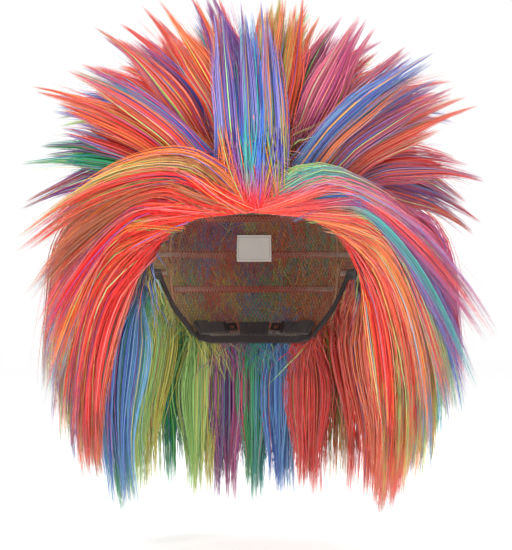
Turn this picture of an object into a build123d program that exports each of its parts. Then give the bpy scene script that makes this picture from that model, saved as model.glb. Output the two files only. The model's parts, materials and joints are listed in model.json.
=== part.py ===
from build123d import *
import math
import os

os.makedirs("parts", exist_ok=True)

# A costume wig in millimetres.  The wearer faces -Y, +X is the wearer's left and +Z is up.
# The origin is the crown seat: the flat underside of the crown patch, resting on top of a head.

# ---------------------------------------------------------------- head and cap sizes
HALF_WIDTH = 78.0  # semi-axes of the egg the cap is stretched over
HALF_LENGTH = 98.0
HALF_HEIGHT = 100.0
APEX = 6.0  # height of the cap's inner surface above the crown seat
CENTRE = Vector(0, 0, APEX - HALF_HEIGHT)

NET_LAYER = (0.0, 1.0)  # distances outwards from the head, as (inner, outer)
BAND_LAYER = (0.0, 1.3)
TRACK_LAYER = (1.7, 2.9)
HAIR_FLOOR = 3.4  # hair never comes nearer to the head than this
ROOT_HEIGHT = 9.0  # where the middle of each lock's root sits above the head

SEAM = 50.0  # polar angle, from the crown, of the seam below the crown net
SEAM_GAP = 0.35  # degrees left open on each side of a seam
BAND_WIDTH = 4.6  # degrees of polar angle
TRACK_WIDTH = 3.0
PATCH_STEP = 5.0  # degrees between the points of a cap panel

# Azimuth from the forehead, and the polar angle of the cap's rim there.
RIM = [
    (0, 71), (30, 73), (50, 79), (67, 90), (92, 97),
    (116, 98), (126, 113), (138, 126), (150, 128), (180, 128)]

EAR_TAB = (68.0, 90.0)  # azimuths between which the ear tab hangs
EAR_TAB_DROP = 13.0
EAR_TAB_SLIT = 1.0  # degrees left open behind the tab so that it can flex
SIDE_SEAM = 126.0  # azimuth of the seam between side net and back net
TEMPLE_SEAM = 64.0
NAPE_BAND_FROM = 138.0

SIDES = ((1, "left"), (-1, "right"))  # the wearer's left is +X

CROWN_PATCH_RADIUS = 24.0
CROWN_PATCH_THICKNESS = 0.8

# ---------------------------------------------------------------- nape adjusters
NAPE_POLAR = 121.0
STRAP_WIDTH = 9.0
STRAP_THICKNESS = 1.0
STRAP_DEPTH = 3.2  # strap centre line inside the cap's inner surface
STRAP_SPAN = (26.0, 60.0)  # degrees round the nape from the middle
CASING_SPAN = (43.0, 57.0)
CASING_WALL = 0.6
CASING_PLAY = 0.35
LADDER_SPAN = 12.0
LADDER_WIDTH = 11.0
LADDER_THICKNESS = 0.6
LADDER_DEPTH = 0.7
LOOP_COUNT = 5
LOOP_SIZE = (0.9, 8.0, 0.5)
LOOP_RISE = 1.0
HINGE_RADIUS = 1.3
HINGE_BORE = 0.75
HINGE_REACH = 0.78  # from the strap's end to the middle of its hinge
KNUCKLE_PLAY = 0.6  # wider than the hook by this much
KNUCKLE_CUT = (4.0, 8.0)  # length and depth cut away between the two knuckles
PIN_RADIUS = 0.5
PIN_LENGTH = 8.6
HOOK_LENGTH = 9.0
HOOK_WIDTH = 6.0
HOOK_THICKNESS = 0.8
HOOK_TIP = 0.7  # how far the hook's lip stands proud of its plate
WINDOW_AT = 4.95  # from the hinge to the middle of the window in the hook's plate
WINDOW_SIZE = (3.6, 3.0, 4.0)

LABEL_AZIMUTHS = (170.0, 190.0)
LABEL_POLARS = (78.0, 90.0)
LABEL_LAYER = (-0.9, -0.4)

# ---------------------------------------------------------------- hair
LOCK_RADIUS = 10.5
LOCK_SIDES = 6
LOCK_RINGS = 9
ROOT_SHARE = 0.5  # root radius as a share of the full lock radius
BELLY_AT = 0.38  # where along a lock it is thickest
TIP_SHARE = 0.12
TAPER_POWER = 1.7
SIDE_HINT = Vector(0, 1, 0.3)  # sets how the six corners of each lock are turned
REACH = 0.45  # how far a lock keeps its first direction, as a share of its span
ROOM_SHARE = 0.46  # share of the room to the nearest lock that a lock may fill
ROW_INSET = 6.0  # degrees from the rim to the hairline row

# Each row of hair: polar angle of its roots (None follows the rim), number of locks, and control
# locks as (azimuth of the root, rise of the hair where it leaves the cap, tip x, tip y, tip z).
# Locks between two control locks take values in between.
FRONT_ROWS = {
    "hair_front_right": (None, 6, [
        (-8, 54, -159, -62, -79), (-19, 38, -152, -58, -112), (-30, 22, -147, -50, -146),
        (-41, 5, -146, -43, -185), (-52, -16, -136, -34, -224), (-63, -42, -118, -24, -246)]),
    "hair_front_left": (None, 6, [
        (8, 40, 160, -62, -138), (19, 24, 150, -57, -177), (30, 7, 141, -51, -203),
        (41, -12, 127, -44, -228), (52, -32, 111, -35, -254), (63, -54, 99, -24, -268)]),
    "hair_second_right": (56, 5, [
        (-24, 52, -146, -48, 44), (-36, 46, -158, -34, 26), (-48, 38, -152, -12, 8),
        (-61, 26, -166, 0, -18), (-75, 12, -166, 18, -53)]),
    "hair_second_left": (56, 5, [
        (24, 54, 130, -48, 52), (36, 46, 141, -34, 31), (48, 38, 160, -16, 19),
        (61, 24, 175, -2, -33), (75, 8, 172, 18, -71)]),
    "hair_forelock": (54, 3, [(-12, 84, -24, -66, 84), (0, 88, -9, -58, 93), (12, 84, 8, -62, 88)]),
}
CROWN_ROWS = {
    "hair_crown_outer": (40, 16, [
        (-169, 32, -32, 164, -14), (-135, 34, -112, 130, -8), (-105, 36, -150, 88, 5),
        (-75, 42, -150, 38, 30), (-45, 55, -120, -10, 60), (-15, 70, -88, -48, 90),
        (15, 72, 44, -50, 95), (45, 58, 104, -14, 78), (75, 46, 146, 34, 40),
        (105, 36, 152, 88, 5), (135, 34, 112, 130, -8), (169, 32, 32, 164, -14)]),
    "hair_crown_middle": (26, 11, [
        (-140, 52, -72, 120, 48), (-100, 58, -112, 74, 62), (-60, 68, -96, 18, 84),
        (-20, 80, -50, -34, 97), (20, 82, 12, -38, 97), (60, 70, 84, 14, 88),
        (100, 58, 112, 74, 62), (140, 52, 72, 120, 48), (180, 50, 0, 140, 44)]),
    "hair_crown_top": (10, 6, [
        (-108, 76, -52, 52, 90), (-36, 84, -26, 4, 98), (36, 84, 36, 2, 96),
        (108, 76, 52, 52, 90), (180, 72, 0, 92, 84)]),
    "hair_crown_back": (57, 9, [
        (120, 30, 134, 104, -40), (180, 30, 0, 178, -52), (240, 30, -134, 104, -40)]),
}
# Rows that are the same on both sides, given for the wearer's left.
MIRRORED_ROWS = {
    "hair_side_upper": (70, 4, [(80, -6, 146, -5, -188), (116, -8, 130, 70, -194)]),
    "hair_side_middle": (86, 4, [(76, -40, 122, -10, -247), (114, -42, 112, 62, -250)]),
    "hair_side_lower": (96, 3, [(94, -72, 97, 5, -276), (122, -70, 92, 62, -278)]),
    "hair_corner_upper": (71, 2, [(130, 0, 116, 104, -180), (142, -1, 84, 132, -172)]),
    "hair_corner_middle": (87, 2, [(128, -35, 100, 94, -238), (141, -32, 76, 122, -230)]),
    "hair_corner_lower": (100, 2, [(134, -60, 80, 92, -270), (145, -58, 62, 108, -266)]),
}
BACK_ROWS = {
    "hair_back_upper": (72, 5, [
        (154, 0, 66, 156, -162), (180, -2, 0, 170, -165), (206, 0, -66, 156, -162)]),
    "hair_back_middle": (88, 5, [
        (153, -30, 58, 138, -224), (180, -30, 0, 152, -226), (207, -30, -58, 138, -224)]),
    "hair_back_lower": (104, 5, [
        (155, -55, 46, 124, -260), (180, -55, 0, 134, -262), (205, -55, -46, 124, -260)]),
    "hair_nape": (119, 5, [
        (148, -72, 42, 98, -276), (180, -72, 0, 112, -281), (212, -72, -42, 98, -276)]),
}

# Each sewn track: polar angle at its middle (None follows the rim), and the azimuths it runs between.
TRACKS = {
    "track_hairline": (None, -69, 69),
    "track_second": (56, -82, 82),
    "track_crown_outer": (40, -180, 180),
    "track_crown_middle": (26, -180, 180),
    "track_crown_top": (10, -180, 180),
    "track_crown_back": (57, 117, 243),
    "track_upper": (71, 74, 286),
    "track_middle": (87, 72, 288),
    "track_lower": (102, 127, 233),
    "track_nape": (119, 143, 217),
}
EAR_TRACK = (88.0, 124.0)  # the short tracks that hold the lowest side row, just inside the rim
EAR_TRACK_TOP = 93.5


# ---------------------------------------------------------------- geometry helpers
def between(value, rows, column):
    """Read a column of a table whose first column rises, at value, in straight lines."""
    if value <= rows[0][0]:
        return rows[0][column]
    for low, high in zip(rows, rows[1:]):
        if value <= high[0]:
            share = (value - low[0]) / (high[0] - low[0])
            return low[column] + share * (high[column] - low[column])
    return rows[-1][column]


def rim_polar(azimuth):
    """Polar angle of the cap's rim."""
    around = abs((azimuth + 180.0) % 360.0 - 180.0)
    return between(around, RIM, 1)


def head_point(azimuth, polar, offset):
    """A point at a distance outwards from the head."""
    a = math.radians(azimuth)
    p = math.radians(polar)
    unit = (math.sin(a) * math.sin(p), -math.cos(a) * math.sin(p), math.cos(p))
    axes = (HALF_WIDTH, HALF_LENGTH, HALF_HEIGHT)
    surface = Vector(*[u * s for u, s in zip(unit, axes)])
    normal = Vector(*[u / s for u, s in zip(unit, axes)]).normalized()
    return CENTRE + surface + normal * offset


def height_above_head(point):
    """Distance from the head's surface, near enough for hair."""
    axes = (HALF_WIDTH, HALF_LENGTH, HALF_HEIGHT)
    rel = tuple(point - CENTRE)
    scaled = math.hypot(*[c / s for c, s in zip(rel, axes)])
    slope = math.hypot(*[c / (s * s) for c, s in zip(rel, axes)])
    return scaled * (scaled - 1.0) / slope


def flat_faces(corners):
    """The flat faces of one polygon, split in two when it has four corners."""
    points = []
    for corner in corners:
        if all((corner - other).length > 1e-6 for other in points):
            points.append(corner)
    if len(points) == 4:
        splits = [points[:3], [points[0], points[2], points[3]]]
    elif len(points) >= 3:
        splits = [points]
    else:
        splits = []
    return [Face(Wire.make_polygon(split, close=True)) for split in splits]


def closed_solid(polygons):
    """One solid from polygons that close up."""
    faces = [face for polygon in polygons for face in flat_faces(polygon)]
    return Solid(Shell(faces))


def head_patch(azimuths, top, bottom, layer, rows):
    """A panel lying on the head between two azimuths and two polar angles given as functions."""
    start, end = azimuths
    whole = end - start >= 360.0
    steps = max(2, math.ceil((end - start) / PATCH_STEP))
    columns = []
    for i in range(steps + (0 if whole else 1)):
        azimuth = start + (end - start) * i / steps
        polars = [top(azimuth) + (bottom(azimuth) - top(azimuth)) * j / rows for j in range(rows + 1)]
        columns.append([[head_point(azimuth, polar, off) for polar in polars] for off in layer])
    pairs = list(zip(columns, columns[1:]))
    if whole:
        pairs.append((columns[-1], columns[0]))
    polygons = []
    for (inner, outer), (next_inner, next_outer) in pairs:
        for j in range(rows):
            polygons.append([outer[j], outer[j + 1], next_outer[j + 1], next_outer[j]])
            polygons.append([inner[j], next_inner[j], next_inner[j + 1], inner[j + 1]])
        polygons.append([inner[0], outer[0], next_outer[0], next_inner[0]])
        polygons.append([inner[-1], next_inner[-1], next_outer[-1], outer[-1]])
    if not whole:
        for inner, outer in (columns[0], columns[-1]):
            for j in range(rows):
                polygons.append([inner[j], inner[j + 1], outer[j + 1], outer[j]])
    return closed_solid(polygons)


def save(name, *solids):
    """Write one sub-part."""
    shape = solids[0] if len(solids) == 1 else Compound(children=list(solids))
    export_step(shape, f"parts/{name}.step")


# ---------------------------------------------------------------- cap
def constant(value):
    return lambda azimuth: value


def band_top(azimuth):
    return rim_polar(azimuth) - BAND_WIDTH


def net_bottom(azimuth):
    return band_top(azimuth) - SEAM_GAP * 2


def tab_bottom(azimuth):
    """The rounded lower edge of an ear tab."""
    start, end = EAR_TAB
    share = (abs(azimuth) - start) / (end - start)
    swell = math.sqrt(max(0.0, 1.0 - (2.0 * share - 1.0) ** 2))
    return rim_polar(azimuth) + EAR_TAB_DROP * swell


def side_span(start, end, side):
    """Azimuths between two angles of the left side, or the same span on the right."""
    return (start, end) if side > 0 else (-end, -start)


def make_nets():
    dome = head_patch((-180, 180), constant(0.0), constant(SEAM - SEAM_GAP), NET_LAYER, rows=9)
    save("crown_net", dome)
    top = constant(SEAM + SEAM_GAP)
    front = (-TEMPLE_SEAM + SEAM_GAP, TEMPLE_SEAM - SEAM_GAP)
    save("front_net", head_patch(front, top, net_bottom, NET_LAYER, rows=5))
    back = (SIDE_SEAM + SEAM_GAP, 360 - SIDE_SEAM - SEAM_GAP)
    save("back_net", head_patch(back, top, net_bottom, NET_LAYER, rows=12))
    for side, word in SIDES:
        span = side_span(TEMPLE_SEAM + SEAM_GAP, SIDE_SEAM - SEAM_GAP, side)
        save(f"side_net_{word}", head_patch(span, top, net_bottom, NET_LAYER, rows=8))


def make_bands():
    start, end = EAR_TAB
    front = (-start + SEAM_GAP, start - SEAM_GAP)
    save("front_band", head_patch(front, band_top, rim_polar, BAND_LAYER, rows=1))
    nape = (NAPE_BAND_FROM + SEAM_GAP, 360 - NAPE_BAND_FROM - SEAM_GAP)
    save("nape_band", head_patch(nape, band_top, rim_polar, BAND_LAYER, rows=1))
    for side, word in SIDES:
        span = side_span(end + EAR_TAB_SLIT, NAPE_BAND_FROM - SEAM_GAP, side)
        save(f"side_band_{word}", head_patch(span, band_top, rim_polar, BAND_LAYER, rows=1))
        span = side_span(start + SEAM_GAP, end, side)
        save(f"ear_tab_{word}", head_patch(span, band_top, tab_bottom, BAND_LAYER, rows=4))


def make_crown_patch():
    on_seat = (Align.CENTER, Align.CENTER, Align.MIN)
    disc = Cylinder(CROWN_PATCH_RADIUS, CROWN_PATCH_THICKNESS, align=on_seat)
    save("crown_patch", disc)


def make_label():
    top, bottom = LABEL_POLARS
    label = head_patch(LABEL_AZIMUTHS, constant(top), constant(bottom), LABEL_LAYER, rows=2)
    save("care_label", label)


def make_tracks():
    for name, (polar, start, end) in TRACKS.items():
        def top(azimuth, polar=polar):
            middle = rim_polar(azimuth) - ROW_INSET if polar is None else polar
            return middle - TRACK_WIDTH / 2

        def bottom(azimuth, top=top):
            return top(azimuth) + TRACK_WIDTH

        save(name, head_patch((start, end), top, bottom, TRACK_LAYER, rows=1))
    top = constant(EAR_TRACK_TOP)
    bottom = constant(EAR_TRACK_TOP + TRACK_WIDTH)
    for side, word in SIDES:
        span = side_span(*EAR_TRACK, side)
        save(f"track_ear_{word}", head_patch(span, top, bottom, TRACK_LAYER, rows=1))


# ---------------------------------------------------------------- nape adjusters
def nape_circle():
    """Radius and centre, in plan, of the circle that follows the nape, and its height and slope."""
    p = math.radians(NAPE_POLAR)
    across = HALF_WIDTH * math.sin(p)
    along = HALF_LENGTH * math.sin(p)
    radius = across * across / along
    slope = math.degrees(math.atan2(-math.cos(p) / HALF_HEIGHT, math.sin(p) / HALF_LENGTH))
    height = CENTRE.Z + HALF_HEIGHT * math.cos(p)
    return radius, along - radius, height, slope


def nape_place(angle, depth):
    """A place on the nape: x runs towards +X round the nape, y up the head and z into the head."""
    radius, middle, height, slope = nape_circle()
    turn = math.radians(angle)
    tilt = math.radians(slope)
    outwards = Vector(math.sin(turn) * math.cos(tilt), math.cos(turn) * math.cos(tilt), -math.sin(tilt))
    origin = Vector(radius * math.sin(turn), middle + radius * math.cos(turn), height) - outwards * depth
    along = Vector(math.cos(turn), -math.sin(turn), 0)
    return Plane(origin=origin, x_dir=along, z_dir=-outwards)


def nape_strip(span, depth, width, thickness):
    """A strip round the nape between two angles, as a solid of revolution."""
    start, end = span
    _, middle, _, _ = nape_circle()
    plane = nape_place(start, depth)
    section = plane.location * Rot(0, 90, 0) * Rectangle(thickness, width)
    axis = Axis((0, middle, 0), (0, 0, 1))
    return revolve(section, axis, -(end - start))


def make_strap(side, word):
    """Elastic adjuster strap with a hinge sleeve for its hook."""
    start, _ = STRAP_SPAN
    strap = nape_strip(side_span(*STRAP_SPAN, side), STRAP_DEPTH, STRAP_WIDTH, STRAP_THICKNESS)
    place = nape_place(side * start, STRAP_DEPTH).location
    sleeve_at = place * Pos(-side * HINGE_REACH, 0, 0) * Rot(90, 0, 0)
    sleeve = sleeve_at * Cylinder(HINGE_RADIUS, STRAP_WIDTH)
    bore = sleeve_at * Cylinder(HINGE_BORE, STRAP_WIDTH * 2)
    cut_length, cut_depth = KNUCKLE_CUT
    cut = Box(cut_length, HOOK_WIDTH + KNUCKLE_PLAY, cut_depth)
    knuckle_gap = place * Pos(-side * HINGE_RADIUS, 0, 0) * cut
    save(f"adjuster_strap_{word}", (strap + sleeve - bore - knuckle_gap).solid())


def make_hook(side, word):
    """Small moulded hook whose pin turns in the strap's sleeve."""
    start, _ = STRAP_SPAN
    radius, _, _, _ = nape_circle()
    lean = math.degrees(HOOK_LENGTH / 2 / (radius - STRAP_DEPTH))
    place = nape_place(side * start, STRAP_DEPTH).location
    place = place * Pos(-side * HINGE_REACH, 0, 0) * Rot(0, side * lean, 0)
    pin = place * Rot(90, 0, 0) * Cylinder(PIN_RADIUS, PIN_LENGTH)
    plate = place * Pos(-side * HOOK_LENGTH / 2, 0, 0) * Box(HOOK_LENGTH, HOOK_WIDTH, HOOK_THICKNESS)
    boss = place * Rot(90, 0, 0) * Cylinder(HINGE_RADIUS, HOOK_WIDTH)
    lip = HOOK_THICKNESS / 2 + HOOK_TIP
    tip = place * Pos(-side * (HOOK_LENGTH - HOOK_THICKNESS / 2), 0, -lip / 2)
    tip = tip * Box(HOOK_THICKNESS, HOOK_WIDTH, lip)
    window = place * Pos(-side * WINDOW_AT, 0, 0) * Box(*WINDOW_SIZE)
    save(f"adjuster_hook_{word}", (plate + boss + pin + tip - window).solid())


def make_casing(side, word):
    """Sewn channel the strap slides through."""
    start, end = side_span(*CASING_SPAN, side)
    slot_width = STRAP_WIDTH + CASING_PLAY * 2
    slot_thickness = STRAP_THICKNESS + CASING_PLAY * 2
    outer_width = slot_width + CASING_WALL * 2
    outer_thickness = slot_thickness + CASING_WALL * 2
    outer = nape_strip((start, end), STRAP_DEPTH, outer_width, outer_thickness)
    slot = nape_strip((start - 1, end + 1), STRAP_DEPTH, slot_width, slot_thickness)
    save(f"strap_casing_{word}", (outer - slot).solid())


def make_ladder():
    """Loop tape at the middle of the nape that the hooks catch."""
    tape = nape_strip((-LADDER_SPAN, LADDER_SPAN), LADDER_DEPTH, LADDER_WIDTH, LADDER_THICKNESS)
    length, width, thickness = LOOP_SIZE
    for i in range(LOOP_COUNT):
        angle = (i - (LOOP_COUNT - 1) / 2) * LADDER_SPAN * 2 / (LOOP_COUNT + 1)
        place = nape_place(angle, LADDER_DEPTH).location
        bridge = place * Pos(0, 0, LOOP_RISE) * Box(length, width, thickness)
        tape += bridge
        for end in (-1, 1):
            foot = place * Pos(0, end * (width - length) / 2, LOOP_RISE / 2) * Box(length, length, LOOP_RISE)
            tape += foot
    save("hook_ladder", tape.solid())


# ---------------------------------------------------------------- hair
def row_locks(polar, count, controls):
    """Centre lines of a row of locks, as (root, bend, tip) control points."""
    controls = sorted(controls)
    first = controls[0][0]
    last = controls[-1][0]
    locks = []
    for i in range(count):
        azimuth = first + (last - first) * i / (count - 1)
        if len(controls) == count:
            azimuth = controls[i][0]
        rise, x, y, z = [between(azimuth, controls, column) for column in (1, 2, 3, 4)]
        row_polar = rim_polar(azimuth) - ROW_INSET if polar is None else polar
        root = head_point(azimuth, row_polar, ROOT_HEIGHT)
        tip = Vector(x, y, z)
        span = tip - root
        level = Vector(span.X, span.Y, 0).normalized()
        lift = math.radians(rise)
        leaving = level * math.cos(lift) + Vector(0, 0, 1) * math.sin(lift)
        locks.append((root, root + leaving * (REACH * span.length), tip))
    return locks


def along(lock, share):
    """Point on a lock's centre line."""
    root, bend, tip = lock
    back = 1.0 - share
    return root * (back * back) + bend * (2 * back * share) + tip * (share * share)


def heading(lock, share):
    """Direction of a lock's centre line."""
    root, bend, tip = lock
    return ((bend - root) * (1.0 - share) + (tip - bend) * share).normalized()


def fullness(share):
    """Thickness of a lock along its length, as a share of its full radius."""
    if share < BELLY_AT:
        return ROOT_SHARE + (1.0 - ROOT_SHARE) * math.sin(math.pi / 2 * share / BELLY_AT)
    taper = (share - BELLY_AT) / (1.0 - BELLY_AT)
    return 1.0 - (1.0 - TIP_SHARE) * taper ** TAPER_POWER


def lock_radius(lock, share, others):
    """Radius that fills the room to the head and to the nearest other lock."""
    point = along(lock, share)
    here = tuple(point)
    room = min(math.dist(here, other) for other in others)
    above = height_above_head(point) - HAIR_FLOOR
    return min(LOCK_RADIUS * fullness(share), ROOM_SHARE * room, above)


def lock_solid(lock, others):
    """One lock of hair: six-sided rings along its centre line, closing to a point."""
    rings = []
    side = heading(lock, 0.0).cross(SIDE_HINT).normalized()
    for i in range(LOCK_RINGS):
        share = i / LOCK_RINGS
        forward = heading(lock, share)
        side = (side - forward * side.dot(forward)).normalized()
        other_side = forward.cross(side)
        centre = along(lock, share)
        radius = lock_radius(lock, share, others)
        turns = [2 * math.pi * k / LOCK_SIDES for k in range(LOCK_SIDES)]
        spokes = [side * math.cos(turn) + other_side * math.sin(turn) for turn in turns]
        rings.append([centre + spoke * radius for spoke in spokes])
    tip = along(lock, 1.0)
    polygons = [list(reversed(rings[0]))]
    for ring, after in zip(rings, rings[1:]):
        for k in range(LOCK_SIDES):
            n = (k + 1) % LOCK_SIDES
            polygons.append([ring[k], ring[n], after[n], after[k]])
    for k in range(LOCK_SIDES):
        polygons.append([rings[-1][k], rings[-1][(k + 1) % LOCK_SIDES], tip])
    return closed_solid(polygons)


def mirrored(controls):
    """The same controls on the other side of the head."""
    return [(-azimuth, rise, -x, y, z) for azimuth, rise, x, y, z in controls]


def make_hair():
    rows = {**FRONT_ROWS, **CROWN_ROWS, **BACK_ROWS}
    for name, (polar, count, controls) in MIRRORED_ROWS.items():
        rows[f"{name}_left"] = (polar, count, controls)
        rows[f"{name}_right"] = (polar, count, mirrored(controls))
    locks = {name: row_locks(*row) for name, row in rows.items()}
    stations = [i / (LOCK_RINGS * 2) for i in range(LOCK_RINGS * 2 + 1)]
    points = {}
    for name, row in locks.items():
        for i, lock in enumerate(row):
            points[name, i] = [tuple(along(lock, share)) for share in stations]
    for name, row in locks.items():
        solids = []
        for i, lock in enumerate(row):
            others = [point for key, line in points.items() if key != (name, i) for point in line]
            solids.append(lock_solid(lock, others))
        save(name, *solids)


make_nets()
make_bands()
make_crown_patch()
make_label()
make_tracks()
make_ladder()
for which_side, side_word in SIDES:
    make_strap(which_side, side_word)
    make_hook(which_side, side_word)
    make_casing(which_side, side_word)
make_hair()
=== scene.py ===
"""Looks for the costume wig: hair grown along the CAD locks, a net cap with sewn wefts, and the studio."""

import json
import math

import bpy
import numpy as np
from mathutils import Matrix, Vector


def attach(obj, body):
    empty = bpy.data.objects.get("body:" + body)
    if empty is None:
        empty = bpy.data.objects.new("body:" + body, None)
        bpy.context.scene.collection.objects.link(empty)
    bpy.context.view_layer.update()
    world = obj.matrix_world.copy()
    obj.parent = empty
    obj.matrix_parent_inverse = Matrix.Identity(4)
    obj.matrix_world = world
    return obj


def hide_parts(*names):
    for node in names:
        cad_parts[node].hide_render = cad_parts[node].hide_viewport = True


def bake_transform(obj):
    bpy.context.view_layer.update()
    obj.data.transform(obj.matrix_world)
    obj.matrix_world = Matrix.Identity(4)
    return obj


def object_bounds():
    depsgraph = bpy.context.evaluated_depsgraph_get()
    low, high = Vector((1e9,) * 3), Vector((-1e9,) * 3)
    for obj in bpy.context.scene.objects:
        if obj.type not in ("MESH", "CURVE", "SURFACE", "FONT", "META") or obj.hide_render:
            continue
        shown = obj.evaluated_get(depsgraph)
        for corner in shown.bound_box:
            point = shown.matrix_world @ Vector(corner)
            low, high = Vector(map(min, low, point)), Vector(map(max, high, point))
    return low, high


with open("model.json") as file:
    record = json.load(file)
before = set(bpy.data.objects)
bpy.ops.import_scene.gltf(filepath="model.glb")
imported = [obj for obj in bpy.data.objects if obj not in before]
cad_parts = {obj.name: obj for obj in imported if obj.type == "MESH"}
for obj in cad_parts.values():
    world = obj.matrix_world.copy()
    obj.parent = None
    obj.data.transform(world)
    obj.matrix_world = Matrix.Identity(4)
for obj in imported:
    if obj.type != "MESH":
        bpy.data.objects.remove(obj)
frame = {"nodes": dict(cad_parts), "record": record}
bounds_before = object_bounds()
rng = np.random.default_rng(7)
MM = 0.001

# ---------- sizes shared with the CAD, in metres
HEAD_AXES = np.array([0.078, 0.098, 0.100])
HEAD_CENTRE = np.array([0.0, 0.0, -0.094])
RIM = np.array([
    (0, 71), (30, 73), (50, 79), (67, 90), (92, 97),
    (116, 98), (126, 113), (138, 126), (150, 128), (180, 128)], float)
SEAM = 50.0
BAND_WIDTH = 4.6
EAR_TAB = (68.35, 90.0)
EAR_TAB_DROP = 13.0
TEMPLE_SEAM = 64.0
SIDE_SEAM = 126.0
NAPE_BAND_FROM = 138.0
PATCH_RADIUS = 24 * MM
PATCH_THICKNESS = 0.8 * MM
LOCK_RINGS = 9
LOCK_SIDES = 6
# Each weft: polar angle of its middle (None follows the rim) and the azimuths it runs between.
TRACKS = {
    "track_hairline": (None, -69, 69),
    "track_second": (56, -82, 82),
    "track_crown_outer": (40, -180, 180),
    "track_crown_middle": (26, -180, 180),
    "track_crown_top": (10, -180, 180),
    "track_crown_back": (57, 117, 243),
    "track_upper": (71, 74, 286),
    "track_middle": (87, 72, 288),
    "track_lower": (102, 127, 233),
    "track_nape": (119, 143, 217),
    "track_ear_left": (95, 88, 124),
    "track_ear_right": (95, -124, -88),
}
ROW_INSET = 6.0
TRACK_WIDTH = 3.0

# ---------- hair look
STRAND_SEGMENTS = 10
STRAND_SHARE = 1.0
STRAND_RADIUS = 0.31 * MM
STRANDS_PER_PIECE = 3300
ROOT_SPREAD = 10.5 * MM
ROOT_STAGGER = 6.0 * MM
ROOT_HEIGHT = 2.2 * MM
JOIN = 0.32  # share of a lock's length over which its strands leave the cap
# Painted highlight: this share of strands is lightened towards white by this much.
PAINTED_HIGHLIGHT_SHARE = 0.14
PAINTED_HIGHLIGHT = 0.18
HAIRLINE_SWEEP = 24.0  # degrees that edge strands run along the rim before they join a lock
HAIRLINE_DEPTH = 5.5
HAIRLINE_SMOOTHING = 3
PARTING = 5.0  # degrees either side of the middle where edge strands from both sides cross
# Short crimped fibres round each root, which hide the weft and the net above and below it.
TEASE_SPREAD = 8 * MM
TEASE_LENGTH = 33 * MM
TEASE_LIFT = 0.34
TEASE_SCATTER = 0.5
TEASE_FROM = 50.0  # degrees round from the face; the second row has none in front of this
TEASE_CRIMP = 0.9 * MM
TEASE_WAVES = 2.6
# How each kind of hair grows: strands in a lock, teased strands at its root, wisps it splits into, how
# far it fills out past the CAD lock, the spread of its tips, how tightly a wisp gathers, how much
# shorter than the longest a wisp may be, shortest strand, share of loose strands, share of strands in
# a colour from elsewhere in the lock, share in a stray colour, darkest and lightest strand, and where
# along the strand its colour starts and ends changing.
SHEET = dict(
    strands=440, tease=0, wisps=15, fill=1.50, tip=9 * MM, gather=0.60, uneven=0.14, shortest=0.66,
    loose=0.05, mixed=0.16, stray=0.05, shades=(0.74, 1.12), fade=(0.30, 0.75))
SPIKE = dict(
    strands=400, tease=210, wisps=6, fill=1.15, tip=9 * MM, gather=0.78, uneven=0.30, shortest=0.45,
    loose=0.16, mixed=0.40, stray=0.12, shades=(0.50, 1.05), fade=(0.30, 0.75))
STYLES = {
    "sheet": SHEET,
    "edge": dict(SHEET, strands=260, shortest=0.60, stray=0.03, fade=(0.16, 0.50)),
    "fringe": dict(
        SHEET, strands=110, wisps=7, fill=1.15, tip=7 * MM, uneven=0.30, shortest=0.40, loose=0.10,
        mixed=0.30, fade=(0.04, 0.22)),
    "spike": SPIKE,
    "centre": dict(
        SPIKE, tease=0, wisps=5, fill=1.05, tip=4 * MM, shortest=0.35, mixed=0.50, shades=(0.55, 1.08),
        fade=(0.25, 0.70)),
    "fall": dict(
        SHEET, strands=400, tease=170, wisps=13, tip=10 * MM, gather=0.64, shortest=0.62, mixed=0.24,
        shades=(0.66, 1.10)),
}
WISP_TURN = 2.4  # radians round the lock from one wisp to the next, the golden angle
WISP_SCATTER = 0.27
LONGEST = 1.06  # longest wisp as a share of the CAD lock's length
WIDEST = 1.5  # how far out across its lock a strand may lie, where 1 is the edge
LOOSE_SPREAD = 1.5
OVERREACH = 13 * MM  # strands that would reach further than this past the CAD box are left out
TAPER_FROM = 0.42  # share of a lock's length where its wisps start to draw in
CORE_SPAN = (0.2, 0.76)
CORE_FILL = 0.6
# Painted shade: each core takes its lock's first colour darkened to this share.
CORE_PAINTED_SHADE = 0.4

COLOURS = {
    "red": (0.97, 0.20, 0.16),
    "scarlet": (0.96, 0.11, 0.09),
    "orange_red": (1.00, 0.36, 0.20),
    "orange": (1.00, 0.52, 0.22),
    "amber": (0.98, 0.70, 0.34),
    "yellow": (0.95, 0.88, 0.38),
    "olive": (0.74, 0.70, 0.32),
    "lime": (0.70, 0.91, 0.50),
    "green": (0.14, 0.70, 0.38),
    "teal": (0.24, 0.70, 0.68),
    "sky": (0.44, 0.73, 0.93),
    "blue": (0.26, 0.47, 0.86),
    "indigo": (0.34, 0.33, 0.72),
    "lavender": (0.60, 0.57, 0.85),
    "purple": (0.52, 0.27, 0.62),
    "magenta": (0.82, 0.28, 0.54),
    "pink": (0.92, 0.45, 0.56),
    "brown": (0.68, 0.36, 0.22),
}

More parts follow.
